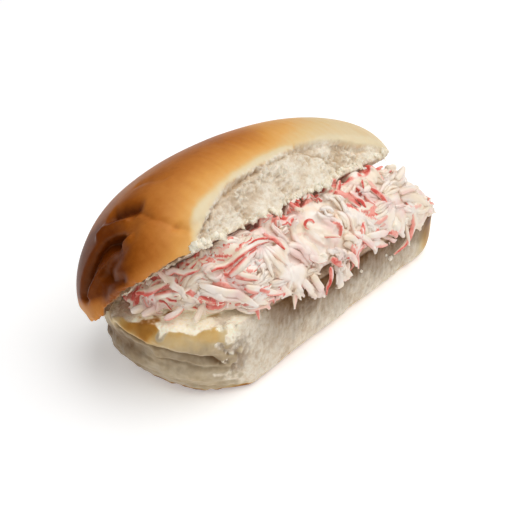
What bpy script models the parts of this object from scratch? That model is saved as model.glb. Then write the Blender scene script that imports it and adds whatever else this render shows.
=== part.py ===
"""Surimi salad roll.

A soft white roll from a tray of rolls baked side by side: its two long sides are torn crumb, its top
and ends are crust.  It is cut level from the open side, the lid is tipped up, and a heap of shredded
surimi in mayonnaise fills the gap from end to end.

X runs along the roll with the near end at -X, -Y is the open side and Z is up.  The origin is the
middle of the footprint on the surface that the roll rests on.
"""

import math
import random

import bmesh
import bpy
from mathutils import Matrix, Vector, noise
from mathutils.bvhtree import BVHTree

for leftover in list(bpy.data.objects):
    bpy.data.objects.remove(leftover, do_unlink=True)

MM = 0.001

# Driving dimensions in millimetres.
HALF_WIDTH = 30.6            # from the middle of the roll to a torn side
GAP = 0.4                    # air between neighbouring pieces
END_ROUNDING = 0.265         # how much shorter the torn sides are than the middle

BASE_HALF_LENGTH = 71.7
BASE_SHIFT = 3.4
BASE_FRONT_HEIGHT = 24.8     # at the open side, halfway along
BASE_BACK_HEIGHT = 13.6
BASE_FALL = 0.118            # drop of the cut top for each millimetre towards the far end
NEAR_TUCK = 0.11             # how far each end draws in towards the bottom crust
FAR_TUCK = 0.04
FOLD_HEIGHT = 0.55           # where the near end's skin folds, as a share of its height
FOLD_DEPTH = 2.6
LIP_SWELL = 1.2              # how far the crust above the fold stands out

LID_HALF_LENGTH = 65.5
LID_CROWN = 33.7
LID_SIDE_REACH = 0.912       # where the dome is cut off by the torn sides
LID_FRONT_TILT = math.radians(44.8)
LID_BACK_TILT = math.radians(12.1)
LID_BACK_RUN = 3.4           # straight stretch at the back edge
LID_BEND_RUN = 23.4          # stretch over which the lid bends up
LID_PITCH = math.radians(6.2)
LID_SHIFT = Vector((-12.4, 29.5, 14.7))
RIM_DIP = 2.5                # how far the lid's near tip hangs down

# Hollows that the dough folded into at the lid's near end: y, z, reach and depth along each one.
END_HOLLOW = [(-17.0, 15.0, 4.5, 3.0), (-10.0, 13.0, 6.5, 6.5), (-3.0, 8.0, 5.0, 5.0), (2.0, 2.0, 4.0, 2.5)]
TOP_HOLLOW = [(-8.0, 20.5, 3.5, 1.5), (-16.0, 20.0, 4.0, 3.5), (-21.0, 17.5, 3.5, 2.0)]

COARSE_LUMP = 9.0            # sizes of the lumps in torn crumb
FINE_LUMP = 4.0

SALAD_BACK = 9.0             # how far back the filling reaches
SALAD_SETBACK = 1.2          # from the base's open edge to the foot of the mound
SALAD_BULGE = 6.5            # how far the mound swells out of the open side
SALAD_EDGE = 2.0             # its least thickness
SLOPE_START = 28.0           # where the mound starts to slope to the far end
SLOPE_RUN = 42.0
SLOPE_DROP = 17.0

SHRED_THICKNESS = 2.1
SHRED_LIFT = 0.9             # how far a shred rises off the mound
SHRED_RINGS = 5
SHRED_ROWS = 4
SHRED_COLUMNS = 16           # along the open side
END_COLUMNS = 4              # round each end
TOP_SHREDS = 12              # on the slope beyond the lid
HANGING_SHREDS = 8
END_SHREDS = 3
SHORTER = (1.0, 0.8, 0.6)    # lengths tried until a shred is clear of the bread
RAY = Vector((0.36, -0.48, 0.80))  # any direction that is along no face


def divided_box(nx, ny, nz):
    """A box from -1 to 1 each way with its sides divided into quads."""
    bm = bmesh.new()
    bmesh.ops.create_cube(bm, size=2.0)
    for axis, count in enumerate((nx, ny, nz)):
        along = [e for e in bm.edges if abs((e.verts[0].co - e.verts[1].co)[axis]) > 0.01]
        bmesh.ops.subdivide_edges(bm, edges=along, cuts=count - 1, use_grid_fill=True)
    return bm


def arch(t, flat, steep):
    return max(0.0, 1.0 - abs(t) ** flat) ** (1.0 / steep)


def bump(distance, reach):
    """1 at no distance, falling smoothly to 0 at the reach."""
    t = max(0.0, 1.0 - abs(distance) / reach)
    return t * t * (3.0 - 2.0 * t)


def rough(x, y, z, size, seed):
    """Smooth noise between about -1 and 1 whose lumps measure the given size."""
    return noise.noise(Vector((x, y, z)) / size + Vector((seed, 3.1 * seed, -seed)))


def torn_relief(x, y, z, seed):
    """How far torn crumb stands out at a point."""
    return rough(x, y, z, COARSE_LUMP, seed) + 0.6 * rough(x, y, z, FINE_LUMP, seed + 1)


def add_object(name, bm, colour, roughness):
    bmesh.ops.transform(bm, matrix=Matrix.Scale(MM, 4), verts=bm.verts)
    bmesh.ops.recalc_face_normals(bm, faces=bm.faces)
    mesh = bpy.data.meshes.new(name)
    bm.to_mesh(mesh)
    bm.free()
    material = bpy.data.materials.new(name)
    material.use_nodes = True
    shader = material.node_tree.nodes["Principled BSDF"]
    shader.inputs["Base Color"].default_value = (*colour, 1.0)
    shader.inputs["Roughness"].default_value = roughness
    shader.inputs["Metallic"].default_value = 0.0
    mesh.materials.append(material)
    mesh.shade_smooth()
    mesh.set_sharp_from_angle(angle=math.radians(50))
    obj = bpy.data.objects.new(name, mesh)
    bpy.context.scene.collection.objects.link(obj)
    return obj


# The base: a loaf that is flat below, torn along both sides and cut along a sloping top.

def base_top(x, y):
    """Height of the base's cut top."""
    across = (y / HALF_WIDTH + 1) / 2
    return BASE_FRONT_HEIGHT + (BASE_BACK_HEIGHT - BASE_FRONT_HEIGHT) * across - BASE_FALL * (x - BASE_SHIFT)


def base_point(u, v, w):
    rise = (w + 1) / 2
    rounding = END_ROUNDING
    if u < 0 < v:
        rounding += 0.06
    tuck = 1 - (NEAR_TUCK if u < 0 else FAR_TUCK) * (1 - min(1.0, rise / 0.6)) ** 2
    x = BASE_HALF_LENGTH * (1 - rounding * abs(v) ** 3) * u * tuck
    y = HALF_WIDTH * v * (1 - 0.05 * (1 - min(1.0, rise / 0.4)) ** 2)
    # The near end is a folded lip of crust over a bulging belly of skin.
    near = bump(u + 1, 0.12)
    fold = bump(rise - FOLD_HEIGHT - 0.06 * v, 0.16) * (1 - bump(v - 1, 0.3))
    lip = bump(rise - FOLD_HEIGHT - 0.3, 0.25)
    x += near * (FOLD_DEPTH * fold - LIP_SWELL * lip)
    x += BASE_SHIFT
    z = rise * base_top(x, y)
    torn = bump(abs(v) - 1, 0.02) * math.sin(math.pi * rise)
    y += math.copysign(torn, v) * torn_relief(x, y, z, 1)
    return Vector((x, y, z))


def build_base():
    bm = divided_box(24, 12, 9)
    for vert in bm.verts:
        vert.co = base_point(*vert.co)
    return add_object("roll_base", bm, (0.78, 0.62, 0.42), 0.8)


# The lid: a dome, flat below, bent up round the filling.

def hollow_depth(y, z, path):
    """Depth of a hollow at a point of the near end."""
    deepest = 0.0
    for first, second in zip(path, path[1:]):
        start = Vector(first[:2])
        run = Vector(second[:2]) - start
        t = max(0.0, min(1.0, (Vector((y, z)) - start).dot(run) / run.length_squared))
        reach = first[2] + (second[2] - first[2]) * t
        depth = first[3] + (second[3] - first[3]) * t
        deepest = max(deepest, depth * bump((Vector((y, z)) - start - run * t).length, reach))
    return deepest


def lid_flat(u, v, w):
    lift = (w + 1) / 2
    reach = (1 - (lift * arch(0.88, 2.6, 2.2)) ** 2.2) ** (1 / 2.6)
    length = LID_HALF_LENGTH * (1 + 0.05 * max(0.0, u) ** 3)
    x = length * (1 - END_ROUNDING * abs(v) ** 3) * u * reach
    y = HALF_WIDTH * v
    crown = LID_CROWN * (1 - 0.07 * max(0.0, u))
    z = lift * crown * arch(0.88 * u, 2.6, 2.2) * arch(LID_SIDE_REACH * v, 2.5, 2.2)
    near = bump(u + 1, 0.45)
    x += near * (hollow_depth(y, z, END_HOLLOW) + hollow_depth(y, z, TOP_HOLLOW))
    return x, y, z


def lid_place(x, y, z):
    """Bend a point of the flat lid up from the back edge, then pitch it and move it into place."""
    run = HALF_WIDTH - y
    back = min(run, LID_BACK_RUN)
    bent = min(max(run - LID_BACK_RUN, 0.0), LID_BEND_RUN)
    front = max(run - LID_BACK_RUN - LID_BEND_RUN, 0.0)
    radius = LID_BEND_RUN / (LID_FRONT_TILT - LID_BACK_TILT)
    tilt = LID_BACK_TILT + bent / radius
    forward = back * math.cos(LID_BACK_TILT) + front * math.cos(LID_FRONT_TILT)
    forward += radius * (math.sin(tilt) - math.sin(LID_BACK_TILT))
    up = back * math.sin(LID_BACK_TILT) + front * math.sin(LID_FRONT_TILT)
    up += radius * (math.cos(LID_BACK_TILT) - math.cos(tilt))
    bent_up = Vector((x, z * math.sin(tilt) - forward, up + z * math.cos(tilt)))
    return Matrix.Rotation(LID_PITCH, 3, "Y") @ bent_up + LID_SHIFT


def over_base(x, y):
    """Whether a point lies over the base's cut top."""
    v = y / HALF_WIDTH
    half_length = BASE_HALF_LENGTH * (1 - END_ROUNDING * min(1.0, abs(v)) ** 3)
    return abs(v) < 1.15 and abs(x - BASE_SHIFT) < half_length + 3.0


def lid_point(u, v, w):
    x, y, z = lid_flat(u, v, w)
    torn = bump(abs(v) - 1, 0.02)
    y += math.copysign(torn, v) * torn_relief(x, y, z, 5)
    rim = bump(w + 1, 0.02) * max(torn, bump(abs(u) - 1, 0.02))
    z += rim * max(-GAP, 1.2 * torn_relief(x, y, z, 7))
    z -= RIM_DIP * bump(w + 1, 0.4) * bump(u + 1, 0.1) * bump(v - 0.25, 0.5)
    place = lid_place(x, y, z)
    if over_base(place.x, place.y):
        place.z = max(place.z, base_top(place.x, place.y) + GAP)
    return place


def build_lid():
    bm = divided_box(32, 18, 8)
    for vert in bm.verts:
        vert.co = lid_point(*vert.co)
    return add_object("roll_lid", bm, (0.62, 0.30, 0.10), 0.4)


# The salad: a mound of mayonnaise and packed surimi, with the shreds that show fused to it.

def salad_point(u, v, w):
    """A point of the bare mound, between the base's cut top and the lid's underside."""
    lift = (w + 1) / 2
    front = (1 - v) / 2
    back = SALAD_BACK - 9.0 * max(0.0, u) ** 6
    y = back - (back + HALF_WIDTH - SALAD_SETBACK) * front
    side = min(1.0, abs(y) / HALF_WIDTH)
    reach = BASE_HALF_LENGTH * (1 - END_ROUNDING * side ** 3)
    margin = 1.0 + 6.0 * front ** 2 if u < 0 else 7.0
    x = BASE_SHIFT + (reach - margin) * u
    floor = Vector((x, y, base_top(x, y) + 0.5))
    # Beyond the lid's far end nothing holds the mound down, and it slopes to the end of the base.
    roof_x = x - LID_SHIFT.x - (-1.0 if u < 0 else 14.0) * u
    beyond = max(0.0, (x - SLOPE_START) / SLOPE_RUN)
    roof = lid_place(roof_x, y, -2.2 * GAP - SLOPE_DROP * beyond ** 2)
    roof.z = max(roof.z, base_top(roof.x, roof.y) + SALAD_EDGE * (1 + 2 * beyond))
    place = floor.lerp(roof, lift)
    swell = math.sin(math.pi * lift ** 0.7) ** 0.8
    place.y -= SALAD_BULGE * swell * bump(front - 1, 0.6)
    place.x -= 2.5 * swell * bump(u + 1, 0.25)
    return place


def build_core():
    bm = divided_box(24, 6, 6)
    for vert in bm.verts:
        vert.co = salad_point(*vert.co)
    bmesh.ops.triangulate(bm, faces=bm.faces)
    bmesh.ops.recalc_face_normals(bm, faces=bm.faces)
    return bm


def shred_mesh(path, outward, width, thickness):
    """A strip of surimi along a path: four sides, narrowing to both ends."""
    bm = bmesh.new()
    rings = []
    for index, (point, normal) in enumerate(zip(path, outward)):
        ahead = path[min(index + 1, len(path) - 1)] - path[max(index - 1, 0)]
        across = ahead.cross(normal).normalized()
        normal = across.cross(ahead).normalized()
        narrow = 0.6 if index in (0, len(path) - 1) else 1.0
        side = across * (width / 2 * narrow)
        up = normal * (thickness / 2 * narrow)
        corners = (side + up, up - side, -side - up, side - up)
        rings.append([bm.verts.new(point + corner) for corner in corners])
    for ring, following in zip(rings, rings[1:]):
        for corner in range(4):
            after = (corner + 1) % 4
            bm.faces.new((ring[corner], ring[after], following[after], following[corner]))
    bm.faces.new(rings[0])
    bm.faces.new(rings[-1])
    bmesh.ops.triangulate(bm, faces=bm.faces)
    bmesh.ops.recalc_face_normals(bm, faces=bm.faces)
    return bm


def inside(tree, point):
    """Whether a point lies inside a closed body: a ray from it then leaves an odd number of times."""
    crossings = 0
    hit = tree.ray_cast(point, RAY)[0]
    while hit is not None:
        crossings += 1
        hit = tree.ray_cast(hit + RAY * 0.001, RAY)[0]
    return crossings % 2 == 1


def folds_over(strip):
    """Whether a bent strip runs through itself."""
    tree = BVHTree.FromBMesh(strip)
    strip.faces.ensure_lookup_table()
    return any(not set(strip.faces[a].verts) & set(strip.faces[b].verts) for a, b in tree.overlap(tree))


def clear_of(bread, points):
    """Whether all the points keep their distance from the bread."""
    for tree in bread:
        for point in points:
            if tree.find_nearest(point)[3] < 2.0 * GAP or inside(tree, point):
                return False
    return True


def lying_path(core, start, heading, length, bow):
    """A shred that lies on the mound, bowed sideways and lifted in its middle."""
    point, normal, _, _ = core.find_nearest(start)
    heading = (heading - normal * heading.dot(normal)).normalized()
    side = normal.cross(heading)
    path = []
    outward = []
    for step in range(SHRED_RINGS):
        t = 2 * step / (SHRED_RINGS - 1) - 1
        guide = point + heading * (t * length / 2) + side * (bow * t * t)
        near, normal, _, _ = core.find_nearest(guide)
        path.append(near + normal * SHRED_LIFT * (0.7 - t * t))
        outward.append(normal)
    return path, outward


def loose_path(start, end, bow):
    """A shred rooted in the mound whose other end is free."""
    path = []
    outward = []
    run = end - start
    out = run.cross(Vector((0.3, 0.2, 1.0)) if abs(run.z) < abs(run.x) else Vector((1.0, 0.0, 0.0)))
    for step in range(SHRED_RINGS):
        t = step / (SHRED_RINGS - 1)
        path.append(start + run * t + bow * math.sin(math.pi * t))
        outward.append(out)
    return path, outward


def shred_plans(core, rng):
    """Rows of shreds over the mound, then those that hang over the open side and out of the far end."""
    for row in range(SHRED_ROWS):
        for column in range(-END_COLUMNS, SHRED_COLUMNS + END_COLUMNS):
            along = column + rng.uniform(0.1, 0.9)
            u = max(-1.0, min(1.0, 2 * along / SHRED_COLUMNS - 1))
            past_corner = max(-along, along - SHRED_COLUMNS, 0.0)
            v = -1.0 + 1.7 * past_corner / END_COLUMNS
            w = (row + rng.uniform(0.2, 0.8)) / SHRED_ROWS * 2 - 1
            start = salad_point(u, v, w)
            turn = rng.uniform(-1.3, 1.3)
            level = Vector((math.copysign(0.5, u), 0.85, 0.0)) if past_corner else Vector((1.0, 0.0, 0.0))
            heading = level * math.cos(turn) + Vector((0.0, 0.0, math.sin(turn)))
            bow = rng.uniform(-3.0, 3.0)
            longest = rng.uniform(10.0, 22.0)
            yield [lying_path(core, start, heading, longest * cut, bow * cut) for cut in SHORTER]
    for index in range(TOP_SHREDS):
        u = 0.66 + 0.3 * (index + rng.random()) / TOP_SHREDS
        start = salad_point(u, rng.uniform(-0.7, 0.8), 1.0)
        turn = rng.uniform(-1.5, 1.5)
        heading = Vector((math.cos(turn), math.sin(turn), 0.0))
        bow = rng.uniform(-3.0, 3.0)
        yield [lying_path(core, start, heading, 15.0 * cut, bow * cut) for cut in SHORTER]
    outside = -HALF_WIDTH - 1.6 - SHRED_THICKNESS / 2
    for index in range(HANGING_SHREDS):
        start = salad_point((index + rng.uniform(0.2, 0.8)) / HANGING_SHREDS * 1.7 - 0.75, -0.95, -0.55)
        drop = rng.uniform(6.0, 10.0)
        end = Vector((start.x + rng.uniform(-4.0, 4.0), outside, start.z - drop))
        bow = Vector((0.0, -1.2, 1.5))
        yield [loose_path(start, start.lerp(end, cut), bow) for cut in SHORTER]
    for index in range(END_SHREDS):
        start = salad_point(0.93, -0.9 + 0.5 * index, -0.1)
        end = start + Vector((rng.uniform(4.0, 6.0), rng.uniform(-2.0, 1.0), rng.uniform(-1.0, 2.0)))
        yield [loose_path(start, start.lerp(end, cut), Vector((0.0, -1.0, 1.0))) for cut in SHORTER]


def build_salad(bread):
    """The mound joined with its shreds; one that would touch the bread is shortened or left out."""
    rng = random.Random(11)
    mound = build_core()
    core = BVHTree.FromBMesh(mound)
    salad = add_object("surimi_salad", mound, (0.88, 0.76, 0.70), 0.35)
    shreds = bpy.data.collections.new("shreds")
    bpy.context.scene.collection.children.link(shreds)
    for choices in shred_plans(core, rng):
        width = SHRED_THICKNESS * rng.uniform(0.9, 1.5)
        for path, outward in choices:
            strip = shred_mesh(path, outward, width, SHRED_THICKNESS)
            if folds_over(strip) or not clear_of(bread, [vert.co for vert in strip.verts]):
                strip.free()
                continue
            bmesh.ops.transform(strip, matrix=Matrix.Scale(MM, 4), verts=strip.verts)
            mesh = bpy.data.meshes.new("shred")
            strip.to_mesh(mesh)
            strip.free()
            shreds.objects.link(bpy.data.objects.new("shred", mesh))
            break
    fuse = salad.modifiers.new("shreds", "BOOLEAN")
    fuse.operation = "UNION"
    fuse.operand_type = "COLLECTION"
    fuse.collection = shreds
    fuse.solver = "EXACT"
    keep_outer_body(salad)
    for obj in list(shreds.objects):
        bpy.data.objects.remove(obj, do_unlink=True)
    bpy.data.collections.remove(shreds)
    return salad


def keep_outer_body(obj):
    """Apply the object's modifiers and drop all but its largest connected body."""
    evaluated = obj.evaluated_get(bpy.context.evaluated_depsgraph_get())
    bm = bmesh.new()
    bm.from_mesh(evaluated.to_mesh())
    bmesh.ops.remove_doubles(bm, verts=bm.verts, dist=0.000005)
    bmesh.ops.triangulate(bm, faces=bm.faces)
    bodies = []
    left = set(bm.faces)
    while left:
        body = {left.pop()}
        frontier = list(body)
        while frontier:
            face = frontier.pop()
            for edge in face.edges:
                for other in edge.link_faces:
                    if other in left:
                        left.remove(other)
                        body.add(other)
                        frontier.append(other)
        bodies.append(body)
    largest = max(bodies, key=len)
    scrap = [face for body in bodies if body is not largest for face in body]
    bmesh.ops.delete(bm, geom=scrap, context="FACES")
    obj.modifiers.clear()
    bm.to_mesh(obj.data)
    bm.free()


def tree_of(obj):
    """A search tree of an object's surface in millimetres."""
    bm = bmesh.new()
    bm.from_mesh(obj.data)
    bmesh.ops.transform(bm, matrix=Matrix.Scale(1 / MM, 4), verts=bm.verts)
    tree = BVHTree.FromBMesh(bm)
    bm.free()
    return tree


def centre(objects):
    """Move the meshes so that the middle of their common footprint is the origin."""
    xs = [vert.co.x for obj in objects for vert in obj.data.vertices]
    ys = [vert.co.y for obj in objects for vert in obj.data.vertices]
    middle = Vector(((min(xs) + max(xs)) / 2, (min(ys) + max(ys)) / 2, 0.0))
    for obj in objects:
        obj.data.transform(Matrix.Translation(-middle))


def main():
    base = build_base()
    lid = build_lid()
    salad = build_salad([tree_of(base), tree_of(lid)])
    centre([base, lid, salad])


if __name__ == "__main__":
    main()
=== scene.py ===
"""Surimi salad roll: a torn white roll, cut and filled with shredded surimi in mayonnaise."""

import math
import random

import bmesh
import bpy
from mathutils import Matrix, Vector, noise
from mathutils.bvhtree import BVHTree


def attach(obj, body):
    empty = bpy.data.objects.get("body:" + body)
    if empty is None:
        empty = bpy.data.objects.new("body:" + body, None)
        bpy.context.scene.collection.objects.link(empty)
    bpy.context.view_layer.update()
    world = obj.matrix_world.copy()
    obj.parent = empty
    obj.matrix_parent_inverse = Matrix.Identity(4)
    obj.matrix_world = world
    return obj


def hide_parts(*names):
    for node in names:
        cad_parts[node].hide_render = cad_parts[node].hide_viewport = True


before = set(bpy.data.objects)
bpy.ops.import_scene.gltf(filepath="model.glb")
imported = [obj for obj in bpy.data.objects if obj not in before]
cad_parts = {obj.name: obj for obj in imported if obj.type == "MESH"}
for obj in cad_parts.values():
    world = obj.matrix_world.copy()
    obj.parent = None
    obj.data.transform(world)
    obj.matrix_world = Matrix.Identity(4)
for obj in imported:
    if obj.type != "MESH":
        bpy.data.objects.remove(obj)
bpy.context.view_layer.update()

scene = bpy.context.scene
scene.view_settings.view_transform = "Standard"

# The view: from above the roll's near corner on its open side, as a plate is seen by someone who
# is about to pick the roll up.
VIEW_AZIMUTH = math.radians(-49.57)
VIEW_ELEVATION = math.radians(34.96)
VIEW_DISTANCE = 0.4007
VIEW_TARGET = Vector((-0.00727, 0.0011, 0.019))
LENS = 81.2

view = bpy.data.cameras.new("view")
view.lens = LENS
view.sensor_width = 36.0
camera = bpy.data.objects.new("view", view)
towards_camera = Vector((
    math.sin(VIEW_AZIMUTH) * math.cos(VIEW_ELEVATION),
    -math.cos(VIEW_AZIMUTH) * math.cos(VIEW_ELEVATION),
    math.sin(VIEW_ELEVATION),
))
camera.location = VIEW_TARGET + towards_camera * VIEW_DISTANCE
camera.rotation_euler = towards_camera.to_track_quat("Z", "Y").to_euler()
scene.collection.objects.link(camera)
scene.camera = camera


# The lid: the upper half of a soft white roll.  Its top and ends are thin glossy crust, browned on
# the crown and pale where the neighbouring rolls shaded it; its two long sides are torn crumb and
# its underside is cut.

MM = 0.001
PLAN_MIDDLE = Vector((-0.709, -0.814, 0.0))   # the whole roll's middle from the middle of the loaf
HALF_WIDTH = 30.6
FRONT_TILT = math.radians(44.8)
BACK_TILT = math.radians(12.1)
BACK_RUN = 3.4
BEND_RUN = 23.4
PITCH = math.radians(6.2)
LID_SHIFT = Vector((-12.4, 29.5, 14.7))
LID_HALF_LENGTH = 65.5
END_ROUNDING = 0.265
FINE = 0.8             # spacing of the even mesh, in millimetres
TORN_BAND = 3.0        # how far in from a torn side the finer mesh goes
FOLDED_END = -46.0     # the near end's folds lie beyond this place along the roll
CROWN_BROWN = 0.84     # how brown the crust gets on the crown
VALLEY_DEPTH = 1.5     # where the crumb pulled away under the crust
STEP_DEPTH = 1.9
TEAR_REACH = 1.7
TEAR_DEPTH = 1.6
RIB_DEPTH = 0.16       # the fine ribs of the crust beside the tear


def srgb(red, green, blue):
    """A colour given from 0 to 255 as the shaders take it."""
    def linear(c):
        c /= 255.0
        return c / 12.92 if c <= 0.04045 else ((c + 0.055) / 1.055) ** 2.4
    return (linear(red), linear(green), linear(blue), 1.0)


def waver(x, y, z):
    """Soft noise from -1 to 1 at a place."""
    return noise.noise(Vector((x, y, z)))


def smooth(low, high, value):
    """0 before low and 1 past high, whichever is larger, with an even curve between them."""
    t = max(0.0, min(1.0, (value - low) / (high - low)))
    return t * t * (3.0 - 2.0 * t)


def even_copy(node, name, spacing, rounds):
    """A smooth, evenly meshed copy of a solid, in millimetres."""
    bm = bmesh.new()
    bm.from_mesh(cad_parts[node].data)
    bmesh.ops.remove_doubles(bm, verts=bm.verts, dist=0.00001)
    bmesh.ops.transform(bm, matrix=Matrix.Scale(1 / MM, 4), verts=bm.verts)
    bmesh.ops.join_triangles(
        bm, faces=bm.faces, angle_face_threshold=math.radians(25), angle_shape_threshold=math.radians(50)
    )
    mesh = bpy.data.meshes.new(name)
    bm.to_mesh(mesh)
    bm.free()
    obj = bpy.data.objects.new(name, mesh)
    scene.collection.objects.link(obj)
    rounded = obj.modifiers.new("rounded", "SUBSURF")
    rounded.levels = rounded.render_levels = 2
    even = obj.modifiers.new("even", "REMESH")
    even.mode = "VOXEL"
    even.voxel_size = spacing
    settled = obj.modifiers.new("settled", "SMOOTH")
    settled.iterations = rounds
    evaluated = obj.evaluated_get(bpy.context.evaluated_depsgraph_get())
    finished = bpy.data.meshes.new_from_object(evaluated)
    obj.modifiers.clear()
    obj.data = finished
    finished.name = name
    bpy.data.meshes.remove(mesh)
    return obj


def lid_plan(point):
    """Undo the lid's bend and place: where a point lies along, across and above the cut."""
    p = Matrix.Rotation(-PITCH, 3, "Y") @ (point + PLAN_MIDDLE - LID_SHIFT)
    y, z = p.y, p.z
    radius = BEND_RUN / (FRONT_TILT - BACK_TILT)
    bend_y = -BACK_RUN * math.cos(BACK_TILT) + radius * math.sin(BACK_TILT)
    bend_z = BACK_RUN * math.sin(BACK_TILT) + radius * math.cos(BACK_TILT)
    tilt = math.atan2(bend_y - y, bend_z - z)
    if tilt < BACK_TILT:
        run = -y * math.cos(BACK_TILT) + z * math.sin(BACK_TILT)
        above = y * math.sin(BACK_TILT) + z * math.cos(BACK_TILT)
        return Vector((p.x, HALF_WIDTH - run, above)), BACK_TILT
    if tilt <= FRONT_TILT:
        run = BACK_RUN + (tilt - BACK_TILT) * radius
        above = radius - math.hypot(bend_y - y, bend_z - z)
        return Vector((p.x, HALF_WIDTH - run, above)), tilt
    start_y = bend_y - radius * math.sin(FRONT_TILT)
    start_z = bend_z - radius * math.cos(FRONT_TILT)
    run = (start_y - y) * math.cos(FRONT_TILT) + (z - start_z) * math.sin(FRONT_TILT)
    above = (y - start_y) * math.sin(FRONT_TILT) + (z - start_z) * math.cos(FRONT_TILT)
    return Vector((p.x, HALF_WIDTH - BACK_RUN - BEND_RUN - run, above)), FRONT_TILT


def cottony(point, size):
    """Rounded clumps with creases between them: about 0.5 in a clump's middle and -0.4 in a crease."""
    return 0.5 - noise.voronoi(point / size)[0][0]


def torn_height(p, seed, stretch):
    """How far torn crumb stands out: soft swells, clumps pulled out of them and the grain of both."""
    q = Vector((p.x, p.y, p.z / stretch)) + Vector((seed * 17.3, seed * 5.1, -seed * 9.7))
    drift = [noise.noise(q / 2.0 + Vector((away, -away, away / 2))) for away in (9.3, 31.7, 67.1)]
    warped = q + Vector(drift) * 0.8
    rich = 0.5 + 0.9 * smooth(-0.3, 0.4, noise.noise(q / 9.0))
    clumps = 1.0 * cottony(warped, 3.0) + 0.5 * cottony(warped, 1.25)
    grain = 0.45 * noise.fractal(q / 0.95, 0.5, 2.0, 3)
    return 1.2 * noise.noise(q / 7.0) + rich * (clumps + grain)


def fold_depth(y, z, line, reach):
    """A V-shaped dent along a line of points, 1 at its bottom."""
    here = Vector((y, z))
    nearest = reach
    for first, second in zip(line, line[1:]):
        start = Vector(first)
        run = Vector(second) - start
        t = max(0.0, min(1.0, (here - start).dot(run) / run.length_squared))
        nearest = min(nearest, (here - start - run * t).length)
    return (1.0 - nearest / reach) ** 1.5


def along_line(line, place):
    """The height of a line of (place, height) points at a place along it."""
    if place <= line[0][0]:
        return line[0][1]
    for (start, low), (end, high) in zip(line, line[1:]):
        if place <= end:
            return low + (high - low) * (place - start) / (end - start)
    return line[-1][1]


def ragged_edge(point):
    """How far the border of the crumb strays, to either side."""
    return 0.5 * noise.noise(point / 2.2) + 0.35 * noise.noise(point / 0.9)


def torn_side(p):
    """1 on the roll's torn sides, 0 elsewhere."""
    return smooth(HALF_WIDTH - 1.6, HALF_WIDTH - 0.6, abs(p.y))


def set_floats(mesh, name, values):
    layer = mesh.attributes.get(name) or mesh.attributes.new(name, "FLOAT", "POINT")
    layer.data.foreach_set("value", values)


def detailed(bread, crumb_of, is_rough):
    """The mesh of a bread piece, twice as fine where it is rough."""
    bm = bmesh.new()
    bm.from_mesh(bread.data)
    bm.normal_update()
    amount = {vert: crumb_of(vert.co, vert.normal) for vert in bm.verts}
    rough = {face for face in bm.faces if all(is_rough(amount[vert]) for vert in face.verts)}
    edges = [edge for edge in bm.edges if any(face in rough for face in edge.link_faces)]
    bmesh.ops.subdivide_edges(bm, edges=edges, cuts=1, use_grid_fill=True)
    bm.normal_update()
    return bm


def keep_looks(looks, *values):
    """Keep a point's crumb, its browning with painted shade, its painted shade and its painted glow, each
    between 0 and 1.
    """
    for kept, value in zip(looks.values(), values):
        kept.append(max(0.0, min(1.0, value)))


def soften(bm, folded, times):
    """Round off the folds, as soft dough is."""
    for _ in range(times):
        bmesh.ops.smooth_vert(
            bm, verts=folded, factor=0.5, use_axis_x=True, use_axis_y=True, use_axis_z=True
        )


# Where the dough folded at the lid's near end: lines of (across, above), reach and depth.
LID_FOLDS = (
    (((-11.2, 13.1), (-6.3, 14.5), (-2.3, 13.2), (1.6, 10.8), (6.1, 8.1), (9.0, 5.0)), 3.2, 3.4),
    (((-16.4, 12.7), (-11.0, 11.2), (-5.4, 10.9), (-1.9, 10.2), (1.6, 7.7), (5.8, 4.4)), 1.9, -1.5),
    (((-14.1, 18.4), (-9.9, 19.7), (-5.5, 20.1), (-3.4, 19.2)), 2.0, -1.2),
    (((-16.3, 20.4), (-12.3, 21.4), (-8.3, 22.0)), 3.0, 2.2),
    (((-2.8, 7.4), (-7.0, 5.0), (-12.1, 3.1)), 2.8, 1.6),
    (((-17.8, 18.9), (-24.7, 13.3), (-27.8, 9.2)), 1.1, 0.6),
    (((-27.8, 9.2), (-29.6, 7.0)), 1.8, 1.2),
    (((-11.7, 27.5), (-15.5, 26.9), (-20.3, 24.8)), 1.0, 0.4),
)
# The upper edge of the crumb on the lid's torn sides: (along, above).
CRUMB_TOP = (
    (-51.0, -1.5), (-46.0, 3.5), (-41.0, 6.5), (-36.0, 9.8), (-27.0, 13.3), (-18.0, 14.9),
    (-9.0, 15.6), (9.0, 16.2), (17.0, 15.6), (24.0, 14.2), (31.0, 11.2), (36.0, 8.8), (42.0, 6.4),
    (48.0, 3.4), (54.0, -2.0),
)
# The tear on the lid's open side, and the step where the crumb on its far side stayed behind.
TEAR = ((11.1, 15.6), (13.4, 13.2), (16.4, 10.9), (19.4, 9.8))
STEP = ((0.0, 18.1), (5.0, 18.4), (9.8, 19.6), (15.8, 11.0))


def lid_end(across):
    """Where the lid's near end lies along the cut."""
    return -LID_HALF_LENGTH * (1.0 - END_ROUNDING * min(1.0, abs(across) / HALF_WIDTH) ** 3)


def lid_crumb(point, normal):
    """How much of a point on the lid is crumb rather than crust."""
    p, tilt = lid_plan(point)
    up = Matrix.Rotation(PITCH, 3, "Y") @ Vector((0.0, math.sin(tilt), math.cos(tilt)))
    ragged = ragged_edge(point)
    torn = smooth(HALF_WIDTH - 1.8, HALF_WIDTH - 0.7, abs(p.y) + ragged)
    torn *= smooth(-0.6, 0.8, along_line(CRUMB_TOP, p.x) - p.z + 1.3 * ragged)
    cut = smooth(0.58, 0.78, -normal.dot(up) + 0.15 * ragged)
    cut *= smooth(1.8, 3.2, p.x - lid_end(p.y) + ragged + 40.0 * smooth(-46.0, -40.0, p.x))
    return max(torn, cut), p, up


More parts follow.
